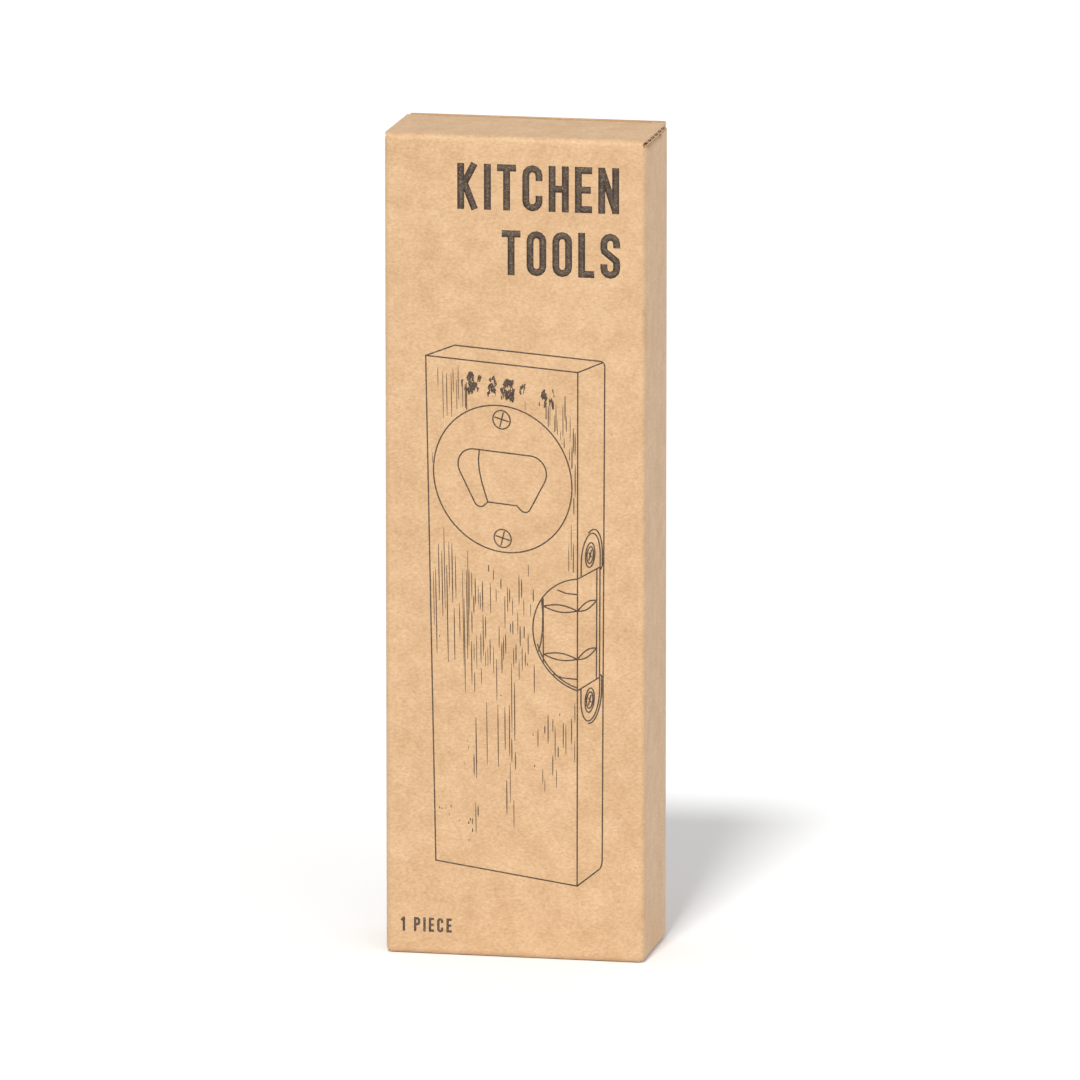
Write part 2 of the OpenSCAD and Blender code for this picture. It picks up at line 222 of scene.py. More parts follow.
def pick(piece, part, wanted):
    """Opens the piece in edit mode with only the wanted parts selected, by centre and direction."""
    select_only(piece)
    bpy.ops.object.mode_set(mode="EDIT")
    bpy.ops.mesh.select_mode(type=part)
    bpy.ops.mesh.select_all(action="DESELECT")
    mesh = bmesh.from_edit_mesh(piece.data)
    for item in {"VERT": mesh.verts, "EDGE": mesh.edges, "FACE": mesh.faces}[part]:
        if part == "VERT":
            centre, way = item.co, item.normal
        elif part == "EDGE":
            centre = (item.verts[0].co + item.verts[1].co) / 2
            way = (item.verts[1].co - item.verts[0].co).normalized()
        else:
            centre, way = item.calc_center_median(), item.normal
        item.select_set(bool(wanted(centre, way)))
    mesh.select_flush_mode()
    bmesh.update_edit_mesh(piece.data)


def leave_edit():
    bpy.ops.object.mode_set(mode="OBJECT")


def cut(piece, point, normal, trim=True):
    """Cuts right through the piece, and trims off what lies on the normal's side."""
    pick(piece, "FACE", lambda centre, way: True)
    bpy.ops.mesh.bisect(plane_co=point, plane_no=normal, clear_outer=trim)
    leave_edit()


def drop(piece, wanted):
    """Takes away the faces that are wanted gone."""
    pick(piece, "FACE", wanted)
    bpy.ops.mesh.delete(type="FACE")
    leave_edit()


def shape_with(piece, kind, **settings):
    select_only(piece)
    modifier = piece.modifiers.new(kind, kind)
    for setting, value in settings.items():
        setattr(modifier, setting, value)
    bpy.ops.object.modifier_apply(modifier=modifier.name)


def copy_of(piece, name):
    twin = piece.copy()
    twin.data = piece.data.copy()
    twin.name = name
    scene.collection.objects.link(twin)
    return twin


def joined(first, *others):
    select_only(first, *others)
    bpy.ops.object.join()
    return first


def settle(piece, angle=35):
    """Puts the piece's place into its mesh and smooths what is round."""
    select_only(piece)
    bpy.ops.object.transform_apply(location=True, rotation=True, scale=True)
    bpy.ops.object.shade_smooth_by_angle(angle=math.radians(angle))
    return piece


def fluting(along, across):
    """A wavy paper, flat on the origin: its flutes run along X and follow each other along Y."""
    crest_bite = 0.01 * MM
    waves = max(1, round(across / flute_pitch))
    bpy.ops.mesh.primitive_grid_add(x_subdivisions=1, y_subdivisions=4 * waves, size=1)
    paper = bpy.context.object
    paper.scale = (along, across, 1)
    bpy.ops.object.transform_apply(scale=True)
    row = across / (4 * waves)
    # The subdivision below rounds the waves off to about two thirds of this rise
    rise = 1.5 * (board_t / 2 - liner_t - fluting_t / 2 + crest_bite)
    for quarter, lift in ((1, rise), (3, -rise)):
        pick(paper, "VERT", lambda at, way: round((at.y + across / 2) / row) % 4 == quarter)
        bpy.ops.transform.translate(value=(0, 0, lift))
        leave_edit()
    shape_with(paper, "SUBSURF", levels=2, render_levels=2)
    shape_with(paper, "SOLIDIFY", thickness=fluting_t, offset=0)
    return paper


def stood(piece, origin, u, v):
    """Places the piece with its X along u and its Y along v."""
    u, v = Vector(u), Vector(v)
    turn = Matrix((u, v, u.cross(v))).transposed().to_4x4()
    piece.matrix_world = Matrix.Translation(Vector(origin)) @ turn
    select_only(piece)
    bpy.ops.object.transform_apply(location=True, rotation=True, scale=True)
    return piece


def board(sheet, *papers):
    """Makes board of a sheet of outer faces: two liners, and the wavy papers between them."""
    lining = copy_of(sheet, "lining")
    shape_with(lining, "DISPLACE", strength=liner_t - board_t, mid_level=0, direction="NORMAL")
    for liner in (sheet, lining):
        shape_with(liner, "SOLIDIFY", thickness=liner_t, offset=-1, use_even_offset=True)
    return settle(joined(sheet, lining, *papers))


kraft = Finish("kraft_liner", 0.58, Specular_IOR_Level=0.5, Sheen_Weight=0.07, Sheen_Roughness=0.4)
mottle = kraft.ramp(
    kraft.cloud(kraft.place, 230, 4, 0.6), (0.3, (0.53, 0.33, 0.168)), (0.7, (0.618, 0.405, 0.225))
)
streaks = kraft.ramp(
    kraft.cloud(kraft.stretched(1500, 1500, 2500), 1, 3, 0.7),
    (0.33, (0.87, 0.83, 0.78)), (0.68, (1.09, 1.10, 1.14))
)
specks = kraft.ramp(kraft.cloud(kraft.stretched(1500, 1500, 3200), 1, 1), (0.64, 0.0), (0.74, 1.0))
kraft_tone = kraft.blend(
    kraft.blend(mottle, streaks, 1.0, "MULTIPLY"), (0.36, 0.19, 0.085), kraft.blend((0, 0, 0), specks, 0.35)
)
weave = kraft.bump(kraft.cloud(kraft.stretched(1500, 1500, 2400), 1, 4, 0.65), 0.5, 0.014 * MM)
kraft_paper = kraft.done(kraft_tone, kraft.bump(kraft.cloud(kraft.place, 160, 2), 0.35, 0.09 * MM, weave))


def in_kraft(piece, body, *nodes):
    piece.data.materials.clear()
    piece.data.materials.append(kraft_paper)
    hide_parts(*nodes)
    if body:
        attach(piece, body)


bpy.ops.object.select_all(action="DESELECT")
bpy.ops.mesh.primitive_cube_add(size=1, location=(0, 0, carton_h / 2))
wrap = bpy.context.object
wrap.scale = (carton_w, 2 * carton_back, carton_h)
bpy.ops.object.transform_apply(location=True, scale=True)


def is_folded(at, way):
    on_top = at.z > carton_h - MM
    return abs(way.z) > 0.9 or at.z < MM or (on_top and at.y < carton_front + MM)


pick(wrap, "EDGE", is_folded)
bpy.ops.mesh.bevel(offset=fold_r, segments=8, affect="EDGES")
leave_edit()
lid_line = carton_h - fold_r - crease_reach
cut(wrap, (0, 0, lid_line), (0, 0, 1), trim=False)


def wall(name, facing):
    """The part of the wrap that faces one way, with half of the fold at each side."""
    sheet = copy_of(wrap, name)
    drop(sheet, lambda at, way: abs(way.z) > 0.999 or way.z > 0.01 or way.dot(facing) < 0.05
         or way.dot(facing) < abs(way.dot(facing.cross(Vector((0, 0, 1))))))
    return sheet


front_wall = wall("front_wall", Vector((0, -1, 0)))
drop(front_wall, lambda at, way: at.z > lid_line)
flat_w = carton_w - 2 * fold_r
middle_h = (lid_line + fold_r) / 2
front_wave = stood(
    fluting(flat_w, lid_line - fold_r), (0, carton_front + board_t / 2, middle_h), (1, 0, 0), (0, 0, 1)
)
in_kraft(board(front_wall, front_wave), "carton", "front_panel")

back_wall = wall("back_wall", Vector((0, 1, 0)))
back_wave = stood(
    fluting(flat_w, carton_h - fold_r), (0, carton_back - board_t / 2, (carton_h + fold_r) / 2),
    (1, 0, 0), (0, 0, 1)
)
in_kraft(board(back_wall, back_wave), "carton", "back_panel")

dust_low, dust_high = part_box("dust_flap_right")
dust_line = side_h - fold_r - crease_reach
right_wall = wall("right_wall", Vector((1, 0, 0)))
right_wave = stood(
    fluting(2 * carton_back - 2 * fold_r, side_h - fold_r),
    (carton_w / 2 - board_t / 2, 0, (side_h + fold_r) / 2), (0, 1, 0), (0, 0, 1)
)
for layer in (right_wall, right_wave):
    cut(layer, (0, 0, side_h), (0, 0, 1))
    cut(layer, (0, 0, dust_line), (0, 0, 1), trim=False)
    cut(layer, (0, dust_low.y, 0), (0, 1, 0), trim=False)
    cut(layer, (0, dust_high.y, 0), (0, 1, 0), trim=False)
    drop(layer, lambda at, way: at.z > dust_line and dust_low.y < at.y < dust_high.y)
board(right_wall, right_wave)


def mirrored(piece, name):
    """The left-hand twin of a right-hand piece."""
    twin = copy_of(piece, name)
    twin.scale.x = -1
    select_only(twin)
    bpy.ops.object.transform_apply(scale=True)
    bpy.ops.object.mode_set(mode="EDIT")
    bpy.ops.mesh.select_all(action="SELECT")
    bpy.ops.mesh.flip_normals()
    leave_edit()
    return twin


left_wall = mirrored(right_wall, "left_wall")
in_kraft(left_wall, "carton", "left_side_panel")
in_kraft(right_wall, "carton", "right_side_panel")

# ---- Lid -------------------------------------------------------------------------------------
# The top panel, folded off the front wall. Its two side edges are cut through the flutes, its
# front corners are clipped, and its rear edge is notched for the tuck flap's crease.
tuck_low, tuck_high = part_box("tuck_flap")
tuck_lean = math.radians(24)
tuck_bend = math.pi / 2 + tuck_lean
tuck_l = 10 * MM
tuck_off = fold_r * math.tan(tuck_bend / 2)
tuck_reach = 1.7 * MM
tuck_gap = 0.3 * MM
lid_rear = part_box("lid")[1].y
lid_tip = carton_back - board_t - tuck_gap + fold_r * (math.tan(tuck_bend / 2) - 1)
notch_y = lid_tip - tuck_off - tuck_reach

lid = copy_of(wrap, "lid_board")
drop(lid, lambda at, way: not (way.z > 0.01 or (at.z > lid_line and -way.y > abs(way.x))))
lid_wave = stood(
    fluting(carton_w - wave_short, lid_rear - carton_front - fold_r),
    (0, (lid_rear + carton_front + fold_r) / 2, carton_h - board_t / 2), (1, 0, 0), (0, 1, 0)
)
for layer in (lid, lid_wave):
    cut(layer, (0, lid_rear, 0), (0, 1, 0))
    cut(layer, (0, notch_y, 0), (0, 1, 0), trim=False)
    cut(layer, (tuck_low.x, 0, 0), (1, 0, 0), trim=False)
    cut(layer, (tuck_high.x, 0, 0), (1, 0, 0), trim=False)
    drop(layer, lambda at, way: at.y > notch_y and tuck_low.x < at.x < tuck_high.x)
    for side in (-1, 1):
        clip_x = side * (carton_w / 2 - (2 - math.sqrt(2)) * fold_r)
        cut(layer, (clip_x, carton_front, 0), (side, -1, 0))
cut(lid, (0, carton_front + fold_r + crease_reach, 0), (0, 1, 0), trim=False)
board(lid, lid_wave)
in_kraft(lid, None, "lid")
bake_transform(lid)

# ---- Tuck flap -------------------------------------------------------------------------------
# Folded down off the lid's rear edge and tucked inside the back wall, leaning in a little.
# It is narrower than the lid, and its free corners are round.


def creased_sheet(name, rail, run, outward, bends=()):
    """A sheet drawn along the rail's points, as wide as run, with a round fold at each bend."""
    bpy.ops.object.select_all(action="DESELECT")
    bpy.ops.mesh.primitive_plane_add(size=MM)
    sheet = bpy.context.object
    sheet.name = name
    bpy.ops.object.mode_set(mode="EDIT")
    bpy.ops.mesh.select_mode(type="VERT")
    bpy.ops.mesh.select_all(action="SELECT")
    bpy.ops.mesh.merge(type="CENTER")
    rail, run = [Vector(point) for point in rail], Vector(run)
    bpy.ops.transform.translate(value=rail[0] - run / 2)
    bpy.ops.mesh.extrude_region_move(TRANSFORM_OT_translate={"value": run})
    bpy.ops.mesh.select_all(action="SELECT")
    for here, there in zip(rail, rail[1:]):
        bpy.ops.mesh.extrude_region_move(TRANSFORM_OT_translate={"value": there - here})
    leave_edit()
    if sum(face.normal.dot(Vector(outward)) for face in sheet.data.polygons) < 0:
        sheet.data.flip_normals()
    for corner, offset in bends:
        pick(sheet, "EDGE", lambda at, way: (at - Vector(corner)).length < 0.05 * MM)
        bpy.ops.mesh.bevel(offset=offset, segments=8, affect="EDGES")
        leave_edit()
    return sheet


down = Vector((0, -math.sin(tuck_lean), -math.cos(tuck_lean)))
tuck_corner = Vector((0, lid_tip, carton_h))
tuck_w = tuck_high.x - tuck_low.x
tuck_end = tuck_corner + tuck_l * down
tuck = creased_sheet(
    "tuck_board", [(0, notch_y, carton_h), tuck_corner, tuck_end], (tuck_w, 0, 0), (0, 1, 0.2),
    [(tuck_corner, tuck_off)]
)
tuck_in = Vector((0, -math.cos(tuck_lean), math.sin(tuck_lean)))
tuck_wave = stood(
    fluting(tuck_w - wave_short, tuck_l - tuck_off),
    tuck_corner + (tuck_l + tuck_off) / 2 * down + board_t / 2 * tuck_in, (1, 0, 0), down
)
lid_part_wave = stood(
    fluting(tuck_w - wave_short, tuck_reach), (0, notch_y + tuck_reach / 2, carton_h - board_t / 2),
    (1, 0, 0), (0, 1, 0)
)
cut(tuck, tuck_corner + (tuck_off + tuck_reach) * down, down, trim=False)
corner_r = 4 * MM
for side in (-1, 1):
    corner = tuck_end - corner_r * down + side * (tuck_w / 2 - corner_r) * Vector((1, 0, 0))
    for step in range(1, 6):
        angle = math.radians(15 * step)
        outward = math.cos(angle) * side * Vector((1, 0, 0)) + math.sin(angle) * down
        for layer in (tuck, tuck_wave):
            cut(layer, corner + corner_r * outward, outward)
board(tuck, tuck_wave, lid_part_wave)
in_kraft(tuck, None, "tuck_flap")
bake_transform(tuck)

# ---- Dust flaps ------------------------------------------------------------------------------
# Two small flaps under the lid, folded in off the side walls before the lid goes down. Their
# front corners are mitred so that they clear the front fold.
dust_l = dust_high.x - dust_low.x
dust_run = dust_high.y - dust_low.y
dust_y = (dust_high.y + dust_low.y) / 2
dust_corner = Vector((carton_w / 2, dust_y, side_h))
dust_right = creased_sheet(
    "dust_board_right",
    [(carton_w / 2, dust_y, dust_line), dust_corner, dust_corner - Vector((dust_l, 0, 0))],
    (0, dust_run, 0), (1, 0, 1), [(dust_corner, fold_r)]
)
dust_wave = stood(
    fluting(dust_run - wave_short, dust_l - fold_r),
    (carton_w / 2 - (dust_l + fold_r) / 2, dust_y, side_h - board_t / 2), (0, 1, 0), (-1, 0, 0)
)
for layer in (dust_right, dust_wave):
    cut(layer, (carton_w / 2, dust_low.y, 0), (-1, -1, 0))
cut(dust_right, (carton_w / 2 - fold_r - crease_reach, 0, 0), (1, 0, 0), trim=False)
board(dust_right, dust_wave)
dust_left = mirrored(dust_right, "dust_board_left")
for side, flap, name in ((1, dust_right, "dust_flap_right"), (-1, dust_left, "dust_flap_left")):
    in_kraft(flap, None, name)
    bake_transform(flap)

# ---- Seam flap and bottom flaps --------------------------------------------------------------
# The seam flap is folded off the back wall and glued inside the left wall. The bottom is four
# flaps glued over each other: both side flaps and the back flap inside, the front flap outside.
glue_low, glue_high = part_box("glue_flap")
glue_y = (glue_low.y + glue_high.y) / 2
seam = creased_sheet(
    "seam_flap_board",
    [(glue_low.x, glue_y, glue_low.z), (glue_low.x, glue_y, glue_high.z)],
    (0, glue_high.y - glue_low.y, 0), (-1, 0, 0)
)
seam_wave = stood(
    fluting(glue_high.y - glue_low.y - wave_short, glue_high.z - glue_low.z),
    (glue_low.x + board_t / 2, glue_y, (glue_low.z + glue_high.z) / 2), (0, 1, 0), (0, 0, 1)
)
taper = 3 * MM
glue_w = glue_high.y - glue_low.y
for layer in (seam, seam_wave):
    cut(layer, (0, glue_high.y, glue_high.z), (0, -taper, glue_w))
    cut(layer, (0, glue_high.y, glue_low.z), (0, -taper, -glue_w))
in_kraft(board(seam, seam_wave), "carton", "glue_flap")

for node, name, along_x in (
    ("bottom_front_flap", "floor_board_outer", True), ("bottom_back_flap", "floor_board_back", True),
    ("bottom_side_flap_left", "floor_board_left", False),
    ("bottom_side_flap_right", "floor_board_right", False)
):
    low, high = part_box(node)
    if node == "bottom_front_flap":
        low.y += fold_r
    middle, size = (low + high) / 2, high - low
    flap = creased_sheet(
        name, [(middle.x, low.y, low.z), (middle.x, high.y, low.z)], (size.x, 0, 0), (0, 0, -1)
    )
    wave_place = (middle.x, middle.y, low.z + board_t / 2)
    if along_x:
        flap_wave = stood(fluting(size.x - wave_short, size.y), wave_place, (1, 0, 0), (0, 1, 0))
    else:
        flap_wave = stood(fluting(size.y - wave_short, size.x), wave_place, (0, 1, 0), (1, 0, 0))
    in_kraft(board(flap, flap_wave), "carton", node)

bpy.data.objects.remove(wrap)

# ---- Print: the title and the small mark -----------------------------------------------------
# One dark water-based ink, printed flat on the front wall before the blank is cut. It soaks in,
# so it is only a few microns high, and paper fibres show through it as pale flecks.
ink_rise = 0.012 * MM
ink = Finish("print_ink", 0.75, Specular_IOR_Level=0.25)
ink_flecks = ink.ramp(ink.cloud(ink.stretched(3600, 3600, 5200), 1, 2, 0.6), (0.52, 0.0), (0.72, 1.0))
ink_tone = ink.ramp(
    ink.cloud(ink.place, 260, 3), (0.35, (0.060, 0.041, 0.031)), (0.65, (0.090, 0.064, 0.048))
)
ink_paint = ink.done(ink.blend(ink_tone, (0.26, 0.185, 0.115), ink_flecks))


def printed(name, lines, width, mitred=True):
    """Prints lines of the given width on the front wall. A line is points of x, z and, if it
    thins out, of the share of the width there; a line whose last point is True is closed."""
    sheet = bpy.data.curves.new(name, "CURVE")
    sheet.dimensions = "2D" if mitred else "3D"
    sheet.fill_mode = "NONE" if mitred else "FULL"
    sheet.twist_mode = "Z_UP"
    sheet.bevel_depth = width / 2
    sheet.bevel_resolution = 0
    sheet.use_fill_caps = True
    for line in lines:
        closed = line[-1] is True
        points = line[:-1] if closed else line
        stroke = sheet.splines.new("POLY")
        stroke.use_cyclic_u = closed
        stroke.points.add(len(points) - 1)
        for point, at in zip(stroke.points, points):
            point.co = (at[0], at[1], 0, 1)
            point.radius = at[2] if len(at) > 2 else 1
    layer = bpy.data.objects.new(name, sheet)
    scene.collection.objects.link(layer)
    select_only(layer)
    bpy.ops.object.convert(target="MESH")
    layer = bpy.context.object
    layer.scale.z = ink_rise / (width / 2)
    bpy.ops.object.transform_apply(scale=True)
    stood(layer, (0, carton_front - ink_rise / 2, 0), (1, 0, 0), (0, 0, 1))
    layer.data.materials.clear()
    layer.data.materials.append(ink_paint)
    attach(layer, "carton")
    return layer


def round_turn(x, z, r, first, last, steps=6):
    """Points round a quarter or half turn, from the first angle to the last, in degrees."""
    turns = [math.radians(first + (last - first) * step / steps) for step in range(steps + 1)]
    return [(x + r * math.cos(turn), z + r * math.sin(turn)) for turn in turns]


def letter(shape, w, h, s):
    """The strokes of one block letter, w wide and h high, drawn with a pen s wide."""
    a, b, lo, hi, mid = s / 2, w - s / 2, s / 2, h - s / 2, h / 2
    r = (b - a) / 2
    top, foot = round_turn(w / 2, hi - r, r, 0, 180), round_turn(w / 2, lo + r, r, 180, 360)
    stem = [(a, 0), (a, h)]
    return {
        "K": [stem, [(b, h), (a + 0.1 * s, mid - 0.06 * h)],
              [(a + 0.5 * s, mid + 0.08 * h), (b + 0.05 * s, 0)]],
        "I": [stem],
        "T": [[(0, hi), (w, hi)], [(w / 2, 0), (w / 2, h)]],
        "C": [[(b, 0.66 * h)] + top + foot + [(b, 0.34 * h)]],
        "O": [top + foot + [True]],
        "H": [stem, [(b, 0), (b, h)], [(a, mid), (b, mid)]],
        "E": [stem, [(a, hi), (w, hi)], [(a, mid), (0.93 * w, mid)], [(a, lo), (w, lo)]],
        "N": [stem, [(b, 0), (b, h)], [(a, h - 0.3 * s), (b, 0.3 * s)]],
        "L": [stem, [(a, lo), (w, lo)]],
        "S": [[(b, 0.68 * h)] + top + [(a, 0.66 * h), (a + 0.1 * s, 0.6 * h)]
              + [(b - 0.1 * s, 0.4 * h), (b, 0.34 * h)] + foot[::-1] + [(a, 0.32 * h)]],
        "P": [stem, [(a, hi), (b - r, hi)] + round_turn(b - r, hi - r, r, 90, 0)
              + round_turn(b - r, mid + r, r, 0, -90) + [(a, mid)]],
        "1": [[(b, 0), (b, h)], [(b, hi), (a - 0.3 * s, 0.74 * h)]],
    }[shape]


def words(name, text, right, foot, height, pen, gap):
    """Sets the text in block letters that end at right and stand on foot."""
    wide = {"K": 0.45, "I": 0.15, "T": 0.42, "E": 0.375, "N": 0.455, "L": 0.36, "1": 0.3, " ": 0.2}
    lines, x = [], right
    for shape in reversed(text):
        w = pen if shape == "I" else wide.get(shape, 0.44) * height
        x -= w
        if shape != " ":
            for stroke in letter(shape, w, height, pen):
                lines.append([at if at is True else (x + at[0], foot + at[1]) for at in stroke])
        x -= gap
    return printed(name, lines, pen)


words("title_upper", "KITCHEN", 19.7 * MM, 141.3 * MM, 8.6 * MM, 1.3 * MM, 1.15 * MM)
words("title_lower", "TOOLS", 19.9 * MM, 129.2 * MM, 8.4 * MM, 1.3 * MM, 1.15 * MM)
words("small_mark", "1 PIECE", -11.9 * MM, 4.3 * MM, 2.7 * MM, 0.46 * MM, 0.58 * MM)

# ---- Print: the line drawing of the opener ---------------------------------------------------
# The same ink draws the opener in perspective, turned a little to its left: its outline, the
# steel plate, the level in its side, and strokes and a worn patch for the wood's grain.
drawn_turn, drawn_dip, drawn_far = math.radians(23.4), math.radians(14.6), 6.53
drawn_size = 99.5 * MM
drawn_middle = Vector((-2.04, 63.4)) * MM
drawn_lean, drawn_taper = 0.009, 0.03  # how far its foot leans right, and how much wider its top is
block_low, block_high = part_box("wood_block")
block_size = block_high - block_low
block_l = block_size.z
look = Vector((-math.sin(drawn_turn) * math.cos(drawn_dip), math.cos(drawn_turn) * math.cos(drawn_dip),
               -math.sin(drawn_dip)))
drawn_right = Vector((math.cos(drawn_turn), math.sin(drawn_turn), 0))
drawn_up = drawn_right.cross(look)


def drawn(x, y, z, share=1):
    """Where a point of the opener, in mm from its front face's middle, falls on the print."""
    seen = Vector((x, y, z)) * MM / block_l + drawn_far * look
    scale = drawn_size * drawn_far / seen.dot(look)
    up = seen.dot(drawn_up)
    across = seen.dot(drawn_right) * (1 + drawn_taper * up) - drawn_lean * up
    spot = drawn_middle + scale * Vector((across, up))
    return (spot.x, spot.y, share)


def ring(x, y, z, across, tall, flat, first=0, last=360, steps=48):
    """A round line on the front face, or on the side face if flat is the side's place."""
    points = []
    for step in range(steps + (last - first < 360)):
        turn = math.radians(first + (last - first) * step / steps)
        run, rise = across * math.cos(turn), tall * math.sin(turn)
        points.append(drawn(flat, y + run, z + rise) if flat else drawn(x + run, y, z + rise))
    return points + ([True] if last - first == 360 else [])


wide, deep, tall = block_size.x / 2 / MM, block_size.y / MM, block_size.z / 2 / MM
top_r, foot_r = 1.2, 2
quarter_turn = [math.radians(turn) for turn in range(0, 91, 15)]
corner = [drawn(wide - top_r + top_r * math.sin(turn), deep, tall - top_r + top_r * math.cos(turn))
          for turn in quarter_turn]
low_corner = [drawn(wide, deep - foot_r + foot_r * math.cos(turn), foot_r - tall - foot_r * math.sin(turn))
              for turn in quarter_turn]
plate_z = (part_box("opener_plate")[0].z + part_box("opener_plate")[1].z) / 2 / MM - block_low.z / MM - tall
plate_r = (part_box("opener_plate")[1].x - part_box("opener_plate")[0].x) / 2 / MM
outline = [
    [drawn(-wide, 0, -tall), drawn(-wide, 0, tall), drawn(wide, 0, tall), drawn(wide, 0, -tall), True],
    [drawn(-wide, 0, tall), drawn(-wide, deep, tall)] + corner + low_corner + [drawn(wide, 0, -tall)],
    [drawn(wide, 0, tall), drawn(wide, deep - 1, tall)],
    ring(0, 0, plate_z, plate_r, plate_r, None, steps=72),
]
for side in (-1, 1):
    screw_z = plate_z + 15 * side
    outline.append(ring(0, 0, screw_z, 2.3, 2.3, None, steps=32))
    outline += [[drawn(-0.5, 0, screw_z - 1.9), drawn(0.5, 0, screw_z + 1.9)],
                [drawn(-1.9, 0, screw_z + 0.5), drawn(1.9, 0, screw_z - 0.3)]]


def mouth_side(way):
    """Half of the cap mouth's line: the shoulder, the slant, the round lobe and the tooth's end."""
    points = [(4.5, 6.8)]
    for cx, cz, r, first, last in ((7.6, 2.6, 4.2, 90, -28), (6, -6, 1.6, -28, -135)):
        points += [(cx + px, cz + pz) for px, pz in round_turn(0, 0, r, first, last, 10)]
    points.append((3.9, -6.2))
    return [drawn(way * x, 0, plate_z + z) for x, z in points]


outline.append(mouth_side(1) + mouth_side(-1)[::-1] + [True])
outline.append([drawn(x, 0, plate_z + z) for x, z in
                ((-6.0, 6.8), (-6.3, 4.2), (-6.1, 1.6), (-5.5, -1.2), (-4.7, -3.8), (-3.9, -6.2))])

moon_x, moon_r, chord, vial_x = wide + 2.6, 14.6, 14.37, 10.8
ring_z = 6.2
side_in, side_out = 12.8, 14.9
open_angle = math.degrees(math.asin(chord / moon_r))
outline += [
    ring(moon_x, 0, 0, moon_r, moon_r, None, 180 - open_angle, 180 + open_angle, 40),
    ring(moon_x, 0, 0, moon_r - 0.7, moon_r - 0.7, None, 196, 180 + open_angle, 24),
    [drawn(vial_x, 0, 8.2), drawn(vial_x, 0, -8.6)],
    [drawn(vial_x - out, 0, z)
     for out, z in ((1.5, -6), (1.0, -4.6), (0.6, -3), (0.2, 0), (0.1, 4), (0.4, 8))],
    [drawn(14.6, 0, 10.9), drawn(17, 0, 10.3), drawn(wide, 0, 10.4)],
    [drawn(13.5, 0, -11), drawn(16, 0, -11.6), drawn(wide, 0, -11.4)],
    [drawn(wide, side_in, chord), drawn(wide, side_in, -chord)],
    [drawn(wide, side_out, chord), drawn(wide, side_out, -chord)],
]
lens = [(step / 12, math.sin(math.pi * step / 12)) for step in range(13)]
for level in (-ring_z, ring_z):
    for lift in (-1, 1):
        outline.append([drawn(vial_x + (wide - vial_x) * run, 0, level + lift * 0.9 * rise)
                        for run, rise in lens])
        outline.append([drawn(wide, side_in * run, level + lift * 0.95 * rise) for run, rise in lens])
for way in (-1, 1):
    ear_z = way * 18.8
    outline.append([drawn(wide, 2.4, way * chord), drawn(wide, 2.4, way * 17.4)]
                   + ring(0, 8.7, way * 17.6, 6.3, 6.6, wide, 180, 180 - 180 * way if way > 0 else 360, 20)
                   + [drawn(wide, 15, way * 17.4), drawn(wide, 15, way * chord)])
    outline.append(ring(0, 9.5, way * 17.8, 6.9, 7.2, wide, *((110, 0) if way > 0 else (250, 360)), 16)
                   + [drawn(wide, 16.4, way * 14.4), drawn(wide, 15.2, way * 13.6)])
    outline.append([drawn(wide, 0.2, way * chord), drawn(wide, side_out, way * chord)])
    for r in (3.1, 2.1):
        outline.append(ring(0, 8.3, ear_z, r, r, wide, steps=28))
    outline += [[drawn(wide, 7.4, ear_z - 1.2), drawn(wide, 9.2, ear_z + 1.2)],
                [drawn(wide, 9.2, ear_z - 0.8), drawn(wide, 7.4, ear_z + 0.8)]]
printed("drawing_outline", outline, 0.26 * MM)

# Each patch of grain: how many strokes, from x to x, their tops from z to z, how long they are
chance = random.Random(7)
grain, taken = [], []
for count, left, right, top, foot, short, long in (
    (13, -17, -12.5, 65.4, 62, 4, 16), (6, -19, -15, 58, 40, 6, 20), (7, -13, -9, 65, 58, 5, 12),
    (40, 6, 18.6, 60, 47, 3, 10), (44, 12.5, 19.4, 54, 36, 4, 14), (16, 17.5, 19.6, 42, 22, 4, 12),
    (34, -19.2, -9.5, 30, 10, 10, 26), (22, -19, -9, 18, 2, 8, 22), (16, -10.8, -9.2, 24, 4, 10, 26),
    (44, -9.5, 9, 16.5, 6, 1.5, 8), (44, -9.5, 6, 10, -8, 3, 12), (24, -9.5, 0, -2, -14, 4, 16),
    (20, -1, 9, 4, -10, 2, 9), (10, 1, 5, -8, -16, 8, 20), (10, -8, 4, -18, -28, 6, 18),
    (16, 8, 19.4, -17, -30, 2, 9), (6, 9, 19, -28, -40, 2, 7), (7, -9, -7, -28, -52, 2, 9),
    (6, 0, 3, -26, -48, 3, 12),
    (10, -19, -8, -50, -54, 0.3, 0.8), (6, -10.5, -9, -52, -60, 0.5, 2.5), (12, -18, 18, 12, -40, 0.3, 0.7),
):
    for _ in range(count):
        x, z = chance.uniform(left, right), chance.uniform(foot, top)
        length = chance.uniform(short, long)
        weight = chance.choice((0.65, 0.8, 0.95, 1.05))
        in_bundle = -10.8 < x < -9.2 or (x > 12 and z > 20)
        near = 0.3 if in_bundle else 0.45
        if any(abs(x - at) < near and z - length < above and z > below for at, above, below in taken):
            continue
        taken.append((x, z + 0.8, z - length - 0.8))
        run = []
        for step in range(5):
            low = z - length * step / 4
            if math.hypot(x, low - plate_z) < plate_r + 0.3 or math.hypot(x - moon_x, low) < moon_r + 0.4:
                break
            run.append(drawn(x, 0, low, weight * (0.5 if step in (0, 4) else 1)))
        if len(run) > 1:
            grain.append(run)
printed("drawing_grain", grain, 0.19 * MM, mitred=False)

